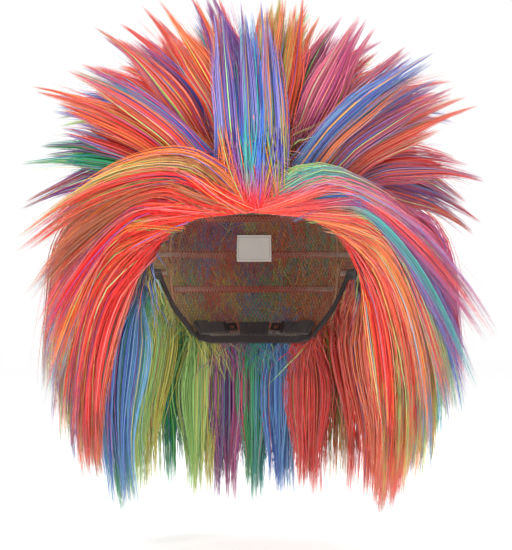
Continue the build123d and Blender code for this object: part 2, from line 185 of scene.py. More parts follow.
# Colours of each lock in a row, from the wearer's right round to the left (back rows from left to
# right). A name repeated in a lock is a wider streak; root>tip changes colour along the fibre.
HAIR_COLOURS = {
    # In the last two locks of this row, the brown and indigo streaks are partly fibre colour and partly
    # painted shade that darkens those locks.
    "hair_front_right": [
        "red red>orange_red orange>brown lime>olive", "red orange_red>purple orange_red>blue lime",
        "orange lime>sky lime blue", "red red>purple orange_red brown", "red>brown brown brown indigo",
        "indigo>brown brown>olive olive>orange orange orange_red>orange"],
    "hair_front_left": [
        "lime>red teal>magenta olive>purple pink>magenta", "lime>magenta teal>red blue purple",
        "lime>teal teal>blue blue lime", "amber lime>teal olive>sky orange",
        "orange amber amber>lime orange_red", "orange_red orange orange>yellow red"],
    "hair_second_right": [
        "purple indigo brown magenta", "green teal purple green", "red lavender lavender blue",
        "orange orange_red red orange", "red orange_red orange blue>teal indigo"],
    "hair_second_left": [
        "sky blue indigo orange", "indigo purple red pink", "orange_red orange orange_red red",
        "red magenta purple red", "magenta>purple red purple>indigo orange_red"],
    "hair_forelock": [
        "lavender blue>purple indigo", "blue>purple teal>indigo lavender blue>purple",
        "olive>orange teal>lavender lavender olive>blue"],
    "hair_crown_outer": [
        "red orange", "blue teal", "purple magenta", "yellow lime", "blue lavender", "orange_red red",
        "red orange_red indigo", "orange_red orange red", "orange olive orange_red", "pink magenta pink",
        "pink red indigo", "orange_red red", "blue purple", "lime green", "orange amber", "red purple"],
    "hair_crown_middle": [
        "green teal", "red orange", "orange red", "red orange_red", "orange_red purple", "orange olive",
        "pink magenta", "pink red", "yellow orange", "blue indigo", "red magenta"],
    "hair_crown_top": [
        "blue teal", "orange red", "orange_red olive", "pink orange", "green lime", "purple blue"],
    "hair_crown_back": [
        "red orange", "yellow lime", "green teal", "blue sky", "purple indigo", "magenta pink",
        "red orange_red", "amber yellow", "lime green"],
    "hair_side_upper_left": ["magenta red", "red orange", "purple blue", "orange_red amber"],
    "hair_side_upper_right": ["orange_red amber", "purple blue", "red orange", "red brown orange_red"],
    "hair_side_middle_left": ["indigo green olive", "olive yellow", "purple blue", "red magenta"],
    "hair_side_middle_right": ["yellow lime", "red pink", "olive orange>red", "olive blue"],
    "hair_side_lower_left": ["orange_red orange_red red", "orange_red orange", "orange_red red"],
    "hair_side_lower_right": ["yellow lime", "green green>teal lime", "blue sky green"],
    "hair_corner_upper_left": ["blue teal", "red orange"],
    "hair_corner_upper_right": ["red orange", "blue teal"],
    "hair_corner_middle_left": ["yellow lime", "green teal"],
    "hair_corner_middle_right": ["purple magenta", "orange amber"],
    "hair_corner_lower_left": ["orange_red red", "orange olive"],
    "hair_corner_lower_right": ["green teal", "yellow lime"],
    "hair_back_upper": ["red orange_red", "orange amber", "yellow lime", "blue indigo", "purple magenta"],
    "hair_back_middle": ["green teal", "red orange", "purple magenta", "orange_red red", "blue sky"],
    "hair_back_lower": ["orange amber", "green lime", "blue teal", "yellow olive", "red orange_red"],
    "hair_nape": ["orange_red red", "blue sky", "green teal", "purple magenta", "lime yellow"],
}
# The strands along the very edge of the cap, in the same order.
HAIRLINE_COLOURS = {
    "hair_front_right": [
        "red scarlet>orange orange_red", "orange_red scarlet>olive red",
        "red scarlet>lime orange_red>sky red", "scarlet orange_red scarlet>purple",
        "scarlet>brown scarlet brown>orange scarlet>brown", "scarlet orange_red>brown orange>brown"],
    "hair_front_left": [
        "scarlet>magenta scarlet>purple orange_red>red", "orange_red>blue scarlet>purple scarlet>teal",
        "scarlet>lime orange_red>teal amber>lime red", "scarlet>amber orange>lime orange scarlet>orange",
        "scarlet>orange orange>amber red", "red scarlet>orange_red"],
    "hair_forelock": [
        "scarlet>orange scarlet>purple", "scarlet>teal scarlet>blue", "scarlet>olive scarlet>indigo"],
}
STRAY_COLOURS = ["red", "orange", "yellow", "teal", "blue", "purple", "magenta", "lime"]

# The way the hair of each moving row leaves the head; the row's body has the name given here.
MOVING_HAIR = {
    "forelock": (0, 0, 1),
    "back_upper": (0, 0.8, -0.6),
    "back_middle": (0, 0.6, -0.8),
    "back_lower": (0, 0.4, -0.9),
    "nape": (0, 0.2, -1),
    "side_upper_left": (0.8, 0, -0.6),
    "side_middle_left": (0.6, 0, -0.8),
    "side_lower_left": (0.3, 0, -1),
    "side_upper_right": (-0.8, 0, -0.6),
    "side_middle_right": (-0.6, 0, -0.8),
    "side_lower_right": (-0.3, 0, -1),
}

# ---------- cap look
THREAD_RADIUS = 0.28 * MM
NET_PITCH = 2.1  # degrees between net threads
NET_SLANT = 0.75
NET_HEIGHT = 0.55 * MM
CORD_RADIUS = 0.55 * MM
STITCH_STEP = 1.1
STITCH_RADIUS = 0.2 * MM
THREAD_RUN = 9  # points in each length of thread

CAMERA_PLACE = (0.0015, -2.0, -0.1042)
CAMERA_LENS = 178.3
FLOOR_HEIGHT = -0.305
FLOOR_RADIUS = 4.2
COVE_RADIUS = 0.9
WALL_HEIGHT = 1.8


# ---------- small helpers
def linear(colour):
    """Linear values of an sRGB colour."""
    c = np.asarray(colour, float)
    return np.where(c <= 0.04045, c / 12.92, ((c + 0.055) / 1.055) ** 2.4)


def unit(v):
    return v / np.maximum(np.linalg.norm(v, axis=-1, keepdims=True), 1e-12)


def ease(x):
    x = np.clip(x, 0.0, 1.0)
    return x * x * (3.0 - 2.0 * x)


def rim_polar(azimuth):
    around = np.abs((azimuth + 180.0) % 360.0 - 180.0)
    return np.interp(around, RIM[:, 0], RIM[:, 1])


def head_normal(points):
    return unit((points - HEAD_CENTRE) / HEAD_AXES ** 2)


def head_points(azimuth, polar, offset):
    """Points at a distance outwards from the head, angles in degrees."""
    a = np.radians(azimuth)
    p = np.radians(polar)
    around = np.stack([np.sin(a) * np.sin(p), -np.cos(a) * np.sin(p), np.cos(p) + 0 * a], -1)
    surface = HEAD_CENTRE + around * HEAD_AXES
    return surface + head_normal(surface) * np.asarray(offset)[..., None]


def head_angles(points):
    """Azimuth and polar angle of points, in degrees."""
    rel = unit((points - HEAD_CENTRE) / HEAD_AXES)
    azimuth = np.degrees(np.arctan2(rel[..., 0], -rel[..., 1]))
    return azimuth, np.degrees(np.arccos(np.clip(rel[..., 2], -1, 1)))


def head_height(points):
    """How far each point lies off the head."""
    rel = points - HEAD_CENTRE
    scaled = np.linalg.norm(rel / HEAD_AXES, axis=-1)
    slope = np.linalg.norm(rel / HEAD_AXES ** 2, axis=-1)
    return scaled * (scaled - 1.0) / slope


def onto_head(points, offset):
    """Each point moved along its line from the head's centre onto the head, then outwards by offset."""
    rel = (points - HEAD_CENTRE) / HEAD_AXES
    surface = HEAD_CENTRE + unit(rel) * HEAD_AXES
    return surface + head_normal(surface) * offset


def clear_of_head(points):
    """Points that lie below the height of the roots, lifted to it."""
    low = np.maximum(ROOT_HEIGHT - head_height(points), 0.0)
    return points + head_normal(points) * low[..., None]


# ---------- materials
def new_material(name, roughness, specular=0.5):
    mat = bpy.data.materials.new(name)
    mat.use_nodes = True
    shader = mat.node_tree.nodes["Principled BSDF"]
    shader.inputs["Roughness"].default_value = roughness
    shader.inputs["Specular IOR Level"].default_value = specular
    return mat, mat.node_tree, shader


def add(tree, kind, **values):
    """A new shader node with its inputs or settings filled in."""
    node = tree.nodes.new(kind)
    for key, value in values.items():
        if key in node.inputs:
            node.inputs[key].default_value = value
        else:
            setattr(node, key, value)
    return node


def mix_colours(tree, factor, low, high):
    """A node that runs between two sRGB colours as factor goes from 0 to 1."""
    mix = add(tree, "ShaderNodeMix", data_type="RGBA")
    mix.inputs[6].default_value = (*linear(low), 1)
    mix.inputs[7].default_value = (*linear(high), 1)
    tree.links.new(factor, mix.inputs["Factor"])
    return mix.outputs[2]


def noise_on(tree, scale, detail):
    """Noise that stays fixed to the piece."""
    place = add(tree, "ShaderNodeTexCoord")
    noise = add(tree, "ShaderNodeTexNoise", Scale=scale, Detail=detail)
    tree.links.new(place.outputs["Object"], noise.inputs["Vector"])
    return noise.outputs["Fac"]


def ranged(tree, source, low, high, until=1.0):
    """Runs from low to high as source goes from 0 to until."""
    node = add(tree, "ShaderNodeMapRange")
    node.inputs["From Max"].default_value = until
    node.inputs["To Min"].default_value = low
    node.inputs["To Max"].default_value = high
    tree.links.new(source, node.inputs["Value"])
    return node.outputs["Result"]


def hair_material():
    """Fibre colour from the strand, with painted shade darkening it near the root, and fine streaks."""
    mat, tree, shader = new_material("synthetic_hair", 0.40, 0.45)
    shader.inputs["Sheen Weight"].default_value = 0.30
    shader.inputs["Sheen Roughness"].default_value = 0.4
    colour = add(tree, "ShaderNodeAttribute", attribute_name="hair_colour")
    along = add(tree, "ShaderNodeAttribute", attribute_name="along")
    # Painted shade near the root, times noise streaks in the fibre's own tone.
    root_shade_and_streaks = add(tree, "ShaderNodeMath", operation="MULTIPLY")
    tree.links.new(ranged(tree, along.outputs["Fac"], 0.62, 1.0, 0.3), root_shade_and_streaks.inputs[0])
    tree.links.new(ranged(tree, noise_on(tree, 900.0, 3.0), 0.80, 1.20), root_shade_and_streaks.inputs[1])
    final = add(tree, "ShaderNodeVectorMath", operation="SCALE")
    tree.links.new(colour.outputs["Color"], final.inputs[0])
    tree.links.new(root_shade_and_streaks.outputs["Value"], final.inputs["Scale"])
    tree.links.new(final.outputs["Vector"], shader.inputs["Base Color"])
    return mat


def cloth_material(name, light, dark, pitch, roughness=0.85):
    """Woven or knitted cloth: crossing threads at a pitch in metres, worn patches, and bump."""
    mat, tree, shader = new_material(name, roughness, 0.25)
    shader.inputs["Sheen Weight"].default_value = 0.15
    links = tree.links
    scale = 2 * math.pi / (20 * pitch)
    place = add(tree, "ShaderNodeTexCoord")
    warp = add(tree, "ShaderNodeTexWave", Scale=scale, Distortion=0.6, bands_direction="DIAGONAL")
    weft = add(tree, "ShaderNodeTexWave", Scale=scale, Distortion=0.6, bands_direction="Z")
    worn = add(tree, "ShaderNodeTexNoise", Scale=60.0, Detail=4.0)
    for node in (warp, weft, worn):
        links.new(place.outputs["Object"], node.inputs["Vector"])
    weave = add(tree, "ShaderNodeMath", operation="MULTIPLY")
    links.new(warp.outputs["Fac"], weave.inputs[0])
    links.new(weft.outputs["Fac"], weave.inputs[1])
    blend = add(tree, "ShaderNodeMath", operation="MULTIPLY_ADD")
    blend.inputs[1].default_value = 0.6
    links.new(worn.outputs["Fac"], blend.inputs[0])
    links.new(weave.outputs["Value"], blend.inputs[2])
    links.new(mix_colours(tree, blend.outputs["Value"], dark, light), shader.inputs["Base Color"])
    bump = add(tree, "ShaderNodeBump", Strength=0.5, Distance=0.0003)
    links.new(weave.outputs["Value"], bump.inputs["Height"])
    links.new(bump.outputs["Normal"], shader.inputs["Normal"])
    return mat


def thread_material(name, light, dark):
    """Spun thread: a colour that wanders from one length of thread to the next."""
    mat, tree, shader = new_material(name, 0.8, 0.25)
    colour = mix_colours(tree, noise_on(tree, 180.0, 4.0), dark, light)
    tree.links.new(colour, shader.inputs["Base Color"])
    return mat


def plastic_material(name, colour):
    """Moulded plastic with faint mottling and scratches in its gloss."""
    mat, tree, shader = new_material(name, 0.35)
    noise = noise_on(tree, 250.0, 5.0)
    low = np.array(colour) * 0.8
    high = np.minimum(np.array(colour) * 1.25, 1.0)
    tree.links.new(mix_colours(tree, noise, low, high), shader.inputs["Base Color"])
    tree.links.new(ranged(tree, noise, 0.25, 0.5), shader.inputs["Roughness"])
    return mat


# ---------- mesh builders
def mesh_object(name, verts, faces_by_size, material):
    """A smooth mesh from vertices and lists of equal-sided faces."""
    mesh = bpy.data.meshes.new(name)
    mesh.vertices.add(len(verts))
    mesh.vertices.foreach_set("co", np.asarray(verts, np.float32).ravel())
    groups = [np.asarray(faces) for faces in faces_by_size if len(faces)]
    loops = np.concatenate([faces.ravel() for faces in groups])
    sizes = np.concatenate([np.full(len(faces), faces.shape[1]) for faces in groups])
    mesh.loops.add(len(loops))
    mesh.loops.foreach_set("vertex_index", loops.astype(np.int32))
    mesh.polygons.add(len(sizes))
    starts = np.concatenate([[0], np.cumsum(sizes)[:-1]])
    mesh.polygons.foreach_set("loop_start", starts.astype(np.int32))
    mesh.polygons.foreach_set("use_smooth", np.ones(len(sizes), bool))
    mesh.update(calc_edges=True)
    mesh.validate()
    mesh.materials.append(material)
    obj = bpy.data.objects.new(name, mesh)
    bpy.context.scene.collection.objects.link(obj)
    return obj


def tubes(lines, radii, sides=3, pointed=False):
    """Closed tapering tubes along many lines at once: lines (n, k, 3), radii (n, k).

    Returns the points, the lists of faces, and for each point of a tube the line point it belongs to."""
    n, k, _ = lines.shape
    tangent = unit(np.gradient(lines, axis=1))
    steep = np.abs(tangent[:, :1, 2:]) > 0.9
    guide = np.where(steep, np.array([1.0, 0, 0]), np.array([0, 0, 1.0]))
    side = unit(np.cross(tangent, guide))
    other = np.cross(tangent, side)
    rings = k - 1 if pointed else k
    turns = 2 * np.pi * np.arange(sides)[:, None] / sides
    spokes = side[:, :rings, None] * np.cos(turns) + other[:, :rings, None] * np.sin(turns)
    ring_points = lines[:, :rings, None] + spokes * radii[:, :rings, None, None]
    per = rings * sides + int(pointed)
    points = np.zeros((n, per, 3))
    points[:, : rings * sides] = ring_points.reshape(n, -1, 3)
    station = np.repeat(np.arange(rings), sides)
    starts = (np.arange(n) * per)[:, None, None]
    r, s = np.meshgrid(np.arange(rings - 1), np.arange(sides), indexing="ij")
    after = (s + 1) % sides
    walls = np.stack([r * sides + s, r * sides + after, (r + 1) * sides + after, (r + 1) * sides + s], -1)
    faces = [(walls.reshape(1, -1, 4) + starts).reshape(-1, 4)]
    first = np.arange(sides)[::-1]
    faces.append((first[None, None] + starts).reshape(-1, sides))
    last = (rings - 1) * sides
    if pointed:
        points[:, -1] = lines[:, -1]
        station = np.append(station, k - 1)
        s = np.arange(sides)
        tips = np.stack([last + s, last + (s + 1) % sides, np.full(sides, per - 1)], -1)
        faces.append((tips[None] + starts).reshape(-1, 3))
    else:
        faces.append((last + np.arange(sides)[None, None] + starts).reshape(-1, sides))
    return points.reshape(-1, 3), faces, station


def joined(parts):
    """One set of points and faces from several."""
    shift = 0
    points, faces = [], []
    for part_points, part_faces in parts:
        points.append(part_points)
        faces.extend(np.asarray(group) + shift for group in part_faces)
        shift += len(part_points)
    return np.concatenate(points), faces


def loft(rings, closed):
    """A solid through rings of equal count, (m, k, 3); closed joins the last ring to the first."""
    m, k, _ = rings.shape
    i = np.arange(m if closed else m - 1)[:, None]
    j = np.arange(k)[None]
    following = (i + 1) % m * k
    after = (j + 1) % k
    walls = np.stack([i * k + j, following + j, following + after, i * k + after], -1).reshape(-1, 4)
    faces = [walls]
    if not closed:
        faces.append(np.arange(k)[None])
        faces.append((m - 1) * k + np.arange(k)[None, ::-1])
    return rings.reshape(-1, 3), faces


def add_point_colour(mesh, name, values):
    layer = mesh.attributes.new(name, "FLOAT_COLOR", "POINT")
    rgba = np.ones((len(values), 4), np.float32)
    rgba[:, :3] = values
    layer.data.foreach_set("color", rgba.ravel())


def add_point_value(mesh, name, values):
    layer = mesh.attributes.new(name, "FLOAT", "POINT")
    layer.data.foreach_set("value", np.asarray(values, np.float32))


def strip_map(mesh, strand_of_point, along_of_point, strands):
    """Texture map that gives each strand its own small cell, so that its colours bake cleanly."""
    across = math.ceil(math.sqrt(strands))
    layer = mesh.uv_layers.new(name="OFBake")
    corner_points = np.zeros(len(mesh.loops), np.int32)
    mesh.loops.foreach_get("vertex_index", corner_points)
    strand = strand_of_point[corner_points]
    spot = corner_points % 3 / 3.0
    u = (strand % across + 0.3 + 0.4 * spot) / across
    v = (strand // across + 0.2 + 0.6 * along_of_point[corner_points]) / across
    layer.data.foreach_set("uv", np.stack([u, v], -1).astype(np.float32).ravel())


# ---------- reading the CAD locks
def welded(obj):
    """Points and triangles of a CAD node with its split corners joined again."""
    mesh = obj.data
    mesh.calc_loop_triangles()
    co = np.zeros(len(mesh.vertices) * 3)
    mesh.vertices.foreach_get("co", co)
    tris = np.zeros(len(mesh.loop_triangles) * 3, np.int32)
    mesh.loop_triangles.foreach_get("vertices", tris)
    keys = np.round(co.reshape(-1, 3) * 1e6).astype(np.int64)
    _, first, index = np.unique(keys, axis=0, return_index=True, return_inverse=True)
    return co.reshape(-1, 3)[first], index.ravel()[tris].reshape(-1, 3)


def layers_from(start, links):
    """Points in steps away from a start point."""
    seen, edge, layers = {start}, [start], []
    while edge:
        layers.append(edge)
        edge = sorted({n for p in edge for n in links[p]} - seen)
        seen.update(edge)
    return layers


def lock_from(tip, layers, points):
    """Bezier points and ring radii of one CAD lock, from its layers of points counted from the tip."""
    rings = [points[layer] for layer in reversed(layers[1:])]
    centres = np.array([ring.mean(0) for ring in rings])
    radii = [np.linalg.norm(ring - centre, axis=1).mean() for ring, centre in zip(rings, centres)]
    root = centres[0]
    middle = LOCK_RINGS // 2
    t = middle / LOCK_RINGS
    bend = (centres[middle] - (1 - t) ** 2 * root - t ** 2 * tip) / (2 * t * (1 - t))
    return {"root": root, "bend": bend, "tip": tip, "radii": np.array(radii + [0.5 * MM])}


def read_locks(node):
    """The locks of a CAD hair node, sorted round the head."""
    points, tris = welded(frame["nodes"][node])
    links = {i: set() for i in range(len(points))}
    for a, b, c in tris:
        links[a] |= {b, c}
        links[b] |= {a, c}
        links[c] |= {a, b}
    wanted = [1] + [LOCK_SIDES] * LOCK_RINGS
    locks = []
    for i, near in links.items():
        if len(near) == LOCK_SIDES:
            layers = layers_from(i, links)
            if [len(layer) for layer in layers] == wanted:
                locks.append(lock_from(points[i], layers, points))
    back = points[:, 1].mean() > 0.05

    def azimuth(lock):
        angle = math.degrees(math.atan2(lock["root"][0], -lock["root"][1]))
        return angle + 360.0 if back and angle < 0 else angle

    return sorted(locks, key=azimuth)


def curve_at(lock, t):
    """Points and directions of a lock's centre line; t may have any shape."""
    t = np.asarray(t)[..., None]
    place = (1 - t) ** 2 * lock["root"] + 2 * t * (1 - t) * lock["bend"] + t ** 2 * lock["tip"]
    way = (1 - t) * (lock["bend"] - lock["root"]) + t * (lock["tip"] - lock["bend"])
    return place, unit(way)


# ---------- growing hair
def paint(text, where, stations, style):
    """Colour along each strand: its streak of the lock, with some strands mixed in from elsewhere."""
    ends = [name.split(">") for name in text.split()]
    roots = np.array([linear(COLOURS[pair[0]]) for pair in ends])
    tips = np.array([linear(COLOURS[pair[-1]]) for pair in ends])
    count = len(where)
    pick = np.minimum((where * len(ends)).astype(int), len(ends) - 1)
    mixed = rng.random(count) < style["mixed"]
    pick[mixed] = rng.integers(0, len(ends), mixed.sum())
    root, tip = roots[pick], tips[pick]
    strays = linear([COLOURS[name] for name in STRAY_COLOURS])
    stray = rng.random(count) < style["stray"]
    root[stray] = tip[stray] = strays[rng.integers(0, len(strays), stray.sum())]
    first, last = style["fade"]
    fade = ease((stations - first) / (last - first))[None, :, None]
    colours = root[:, None] * (1 - fade) + tip[:, None] * fade
    # Painted highlight: some strands are lightened towards white.
    highlight_mix = np.where(rng.random(count) < PAINTED_HIGHLIGHT_SHARE, PAINTED_HIGHLIGHT, 0.0)[:, None, None]
    colours = colours * (1 - highlight_mix) + highlight_mix
    low, high = style["shades"]
    return colours * (low + (high - low) * rng.random((count, 1, 1)))


def plan_lock(lock, style, count):
    """Where each strand of a lock lies across it, which wisp it joins and how long it is."""
    wisps = style["wisps"]
    turn = WISP_TURN * (np.arange(wisps) + 0.6 * rng.random(wisps))
    out = np.sqrt((np.arange(wisps) + 0.5) / wisps)
    wisp_spot = np.stack([np.cos(turn), np.sin(turn)], -1) * out[:, None]
    wisp_reach = LONGEST - style["uneven"] * rng.random(wisps)
    wisp = rng.integers(0, wisps, count)
    loose = rng.random(count) < style["loose"]
    spot = wisp_spot[wisp] + rng.normal(0, WISP_SCATTER, (count, 2))
    spot[loose] *= 1.25
    spot *= np.minimum(1.0, WIDEST / np.linalg.norm(spot, axis=1, keepdims=True))
    shortness = rng.random(count) ** 3
    reach = wisp_reach[wisp] * (1.0 - (1.0 - style["shortest"]) * shortness)
    phase = rng.random((wisps, 2)) * 2 * np.pi
    sway = (0.8 + 1.8 * rng.random((wisps, 2))) * MM
    return {"spot": spot, "home": wisp_spot[wisp], "reach": reach, "loose": loose,
            "phase": phase[wisp], "sway": sway[wisp]}


def lock_sides(lock, way):
    """Two directions across a lock for each of its headings."""
    normal = head_normal(lock["root"])
    first = unit(lock["bend"] - lock["root"])
    side = np.cross(first, normal)
    if np.linalg.norm(side) < 0.2:
        side = np.cross(first, np.array([0, 1.0, 0]))
    side = unit(side)
    across = unit(side - way * (way @ side)[..., None])
    return across, np.cross(way, across)


def body_lines(lock, style, plan, t):
    """Strand points out in the body of the lock, (n, k, 3), where t is (n, k)."""
    centre, way = curve_at(lock, t)
    across, over = lock_sides(lock, way)
    shares = np.linspace(0, 1, len(lock["radii"]))
    thick = np.interp(t, shares, lock["radii"]) * style["fill"]
    pull = ease((t - TAPER_FROM) / (1 - TAPER_FROM))
    loose = plan["loose"][:, None]
    spread = thick * (1 - pull) + style["tip"] * pull * np.where(loose, LOOSE_SPREAD, 1.0)
    gather = np.where(loose, 0.0, style["gather"]) * pull
    spot = plan["spot"][:, None] + (plan["home"] - plan["spot"])[:, None] * gather[..., None]
    wave = np.sin(3.2 * t[..., None] + plan["phase"][:, None]) * (t ** 1.5)[..., None]
    spot = spot * spread[..., None] + wave * plan["sway"][:, None]
    lines = centre + across * spot[..., :1] + over * spot[..., 1:]
    return clear_of_head(lines)


def strand_radii(plan, stations):
    """Each strand is thin at its root, full in the middle and fades to a fine tip."""
    shape = 0.8 + 0.3 * ease(stations / 0.3) - 0.88 * ease((stations - 0.5) / 0.5)
    own = 0.75 + 0.5 * rng.random(len(plan["reach"]))
    own = own * np.where(plan["loose"], 0.6, 1.0)
    return STRAND_RADIUS * shape[None] * own[:, None]


def streak_place(plan):
    """How far across its lock each strand lies, 0 to 1, for choosing its colour."""
    place = plan["home"][:, 0] + rng.normal(0, 0.14, len(plan["home"]))
    return np.clip((place + 1) / 2, 0, 0.999)


def grow_lock(lock, text, style):
    """Strands of one lock, from roots spread over the cap out into its wisps."""
    count = int(style["strands"] * STRAND_SHARE)
    stations = np.linspace(0, 1, STRAND_SEGMENTS + 1)
    plan = plan_lock(lock, style, count)
    t = stations[None] * plan["reach"][:, None]
    body = body_lines(lock, style, plan, t)
    root, first = curve_at(lock, 0.0)
    across, over = lock_sides(lock, first)
    start = root + (across * plan["spot"][:, :1] + over * plan["spot"][:, 1:]) * ROOT_SPREAD
    start = start + first * (rng.random((count, 1)) * 2 - 1) * ROOT_STAGGER
    start = onto_head(start, ROOT_HEIGHT)
    centre, _ = curve_at(lock, t)
    rooted = start[:, None] + (centre - root)
    join = ease(t / JOIN)[..., None]
    lines = rooted * (1 - join) + body * join
    lines = clear_of_head(lines)
    return lines, strand_radii(plan, stations), paint(text, streak_place(plan), stations, style), t


def grow_hairline(lock, text, style):
    """Strands that start at the very edge of the cap, sweep along it and join a front lock."""
    count = int(style["strands"] * STRAND_SHARE)
    plan = plan_lock(lock, style, count)
    lock_azimuth, _ = head_angles(lock["root"])
    side = math.copysign(1.0, lock_azimuth)
    sweep = HAIRLINE_SWEEP * rng.random(count)
    nearest = PARTING * (2 * rng.random(count) - 1)
    azimuth = side * np.maximum(abs(lock_azimuth) - sweep + 4.0, nearest)
    polar = rim_polar(azimuth) - HAIRLINE_DEPTH * rng.random(count) ** 1.4
    edge_steps = STRAND_SEGMENTS // 2
    t = JOIN + (plan["reach"][:, None] - JOIN) * np.linspace(0, 1, STRAND_SEGMENTS)[None]
    body = body_lines(lock, style, plan, t)
    join_azimuth, join_polar = head_angles(body[:, 0])
    join_height = head_height(body[:, 0])
    s = np.arange(edge_steps)[None] / edge_steps
    height = ROOT_HEIGHT + (join_height[:, None] - ROOT_HEIGHT) * s ** 1.5
    edge = head_points(
        azimuth[:, None] + (join_azimuth - azimuth)[:, None] * s,
        polar[:, None] + (join_polar - polar)[:, None] * s ** 1.3,
        height)
    lines = np.concatenate([edge, body], axis=1)
    for _ in range(HAIRLINE_SMOOTHING):
        lines[:, 1:-1] = (lines[:, :-2] + 2 * lines[:, 1:-1] + lines[:, 2:]) / 4
    stations = np.linspace(0, 1, lines.shape[1])
    colours = paint(text, streak_place(plan), stations, style)
    # Starting at 0.3 keeps the material's painted root shade off these hairline strands.
    along = np.broadcast_to(0.3 + 0.7 * stations[None], lines.shape[:2])
    return lines, strand_radii(plan, stations), colours, along


def grow_tease(lock, text, style):
    """Short crimped strands that spread from the root of a lock, up and down over the cap."""
    count = int(style["tease"] * STRAND_SHARE)
    stations = np.linspace(0, 1, STRAND_SEGMENTS + 1)
    start = onto_head(lock["root"] + rng.normal(0, TEASE_SPREAD, (count, 3)), ROOT_HEIGHT)
    out = head_normal(start)
    down = unit(out * out[:, 2:] - np.array([0, 0, 1.0]))
    heading = down * rng.choice([-1.0, 1.0], (count, 1)) + TEASE_LIFT * out
    heading = unit(heading + rng.normal(0, TEASE_SCATTER, (count, 3)))
    length = TEASE_LENGTH * (0.6 + 0.8 * rng.random((count, 1)))
    lines = start[:, None] + heading[:, None] * (length * stations)[..., None]
    wave = np.sin(2 * np.pi * (TEASE_WAVES * stations + rng.random((count, 1)))) * ease(stations / 0.3)
    lines = lines + unit(rng.normal(0, 1, (count, 1, 3))) * (wave * TEASE_CRIMP)[..., None]
    lines = clear_of_head(lines)
    radii = STRAND_RADIUS * (0.9 - 0.7 * ease((stations - 0.5) / 0.5)) * np.ones((count, 1))
    colours = paint(text, rng.random(count), stations, style)
    # The material's painted root shade is light on these short strands and gone by about half their length.
    along = np.broadcast_to(0.12 + 0.4 * stations, radii.shape)
    return lines, radii, colours, along


def core_of(lock, text):
    """The solid heart of a lock, which keeps light from passing through it; its colour is darkened as
    painted shade inside the lock.
    """
    first, last = CORE_SPAN
    t = np.linspace(first, last, 12)
    centre, _ = curve_at(lock, t)
    shape = CORE_FILL * ease((t - first) / 0.16) * ease((last - t) / 0.31)
    radii = np.interp(t, np.linspace(0, 1, len(lock["radii"])), lock["radii"])
    colour = linear(COLOURS[text.split()[0].split(">")[0]])
    return centre, radii * np.maximum(shape, 0.02), np.tile(colour * CORE_PAINTED_SHADE, (len(t), 1)), t


def hair_mesh(name, grown, locks, texts, material):
    """One mesh from the strands and cores of some locks."""
    strands = [np.concatenate(column) for column in zip(*grown)]
    low, high = np.array(bounds_before[0]) - OVERREACH, np.array(bounds_before[1]) + OVERREACH
    inside = ((strands[0] > low) & (strands[0] < high)).all(axis=(1, 2))
    lines, radii, colours, along = [column[inside] for column in strands]
    points, faces, station = tubes(lines, radii, pointed=True)
    per = len(station)
    strand = np.repeat(np.arange(len(lines)), per)
    colour = colours[:, station].reshape(-1, 3)
    share = along[:, station].reshape(-1)
    if locks:
        cores = [core_of(lock, text) for lock, text in zip(locks, texts)]
        centres, core_radii, core_colours, core_t = [np.stack(column) for column in zip(*cores)]
        core_points, core_faces, core_station = tubes(centres, core_radii, 10, True)
        points, faces = joined([(points, faces), (core_points, core_faces)])
        core_strand = len(lines) + np.repeat(np.arange(len(cores)), len(core_station))
        strand = np.concatenate([strand, core_strand])
        colour = np.concatenate([colour, core_colours[:, core_station].reshape(-1, 3)])
        share = np.concatenate([share, core_t[:, core_station].reshape(-1)])
    obj = mesh_object(name, points, faces, material)
    add_point_colour(obj.data, "hair_colour", colour)
    add_point_value(obj.data, "along", share)
    strip_map(obj.data, strand, share, strand[-1] + 1)
    return obj


def attach_hair(obj, node):
    """Ride on the cap, or, for a row that moves on its own body, stay where it is with its placement
    applied to its mesh.
    """
    body = node.removeprefix("hair_")
    if body in MOVING_HAIR:
        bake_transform(obj)
    else:
        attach(obj, "cap")
    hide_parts(node)


def style_of(node):
    """The kind of hair a row has."""
    if node.startswith("hair_front"):
        return STYLES["sheet"]
    if node.startswith("hair_crown") or node.startswith("hair_second"):
        return STYLES["spike"]
    return STYLES["centre" if node == "hair_forelock" else "fall"]


def make_hair(material):
    """Every hair node, in pieces small enough to save whole."""
    for node, texts in HAIR_COLOURS.items():
        locks = read_locks(node)
        if len(locks) != len(texts):
            raise SystemExit(f"{node}: {len(locks)} locks but {len(texts)} colour entries")
        style = style_of(node)
        per_piece = STRANDS_PER_PIECE // (style["strands"] + style["tease"])
        for start in range(0, len(locks), per_piece):
            some = slice(start, start + per_piece)
            grown = [grow_lock(lock, text, style) for lock, text in zip(locks[some], texts[some])]
            for lock, text in zip(locks[some], texts[some]):
                azimuth, _ = head_angles(lock["root"])
                if "second" not in node or abs(azimuth) > TEASE_FROM:
                    grown.append(grow_tease(lock, text, style))
            name = f"{node}_strands_{start // per_piece + 1}"
            attach_hair(hair_mesh(name, grown, locks[some], texts[some], material), node)
        if node in HAIRLINE_COLOURS:
            edge = zip(locks, HAIRLINE_COLOURS[node])
            edge_style = STYLES["fringe" if node == "hair_forelock" else "edge"]
            grown = [grow_hairline(lock, text, edge_style) for lock, text in edge]
            attach_hair(hair_mesh(f"{node}_edge", grown, [], [], material), node)


# ---------- cap
def across_shares(rows):
    """Shares from 0 to 1 that crowd towards both ends, for rounded edges."""
    even = np.linspace(0, 1, rows + 1)
    return np.unique(np.concatenate([even, [0.012, 0.04, 0.96, 0.988]]))


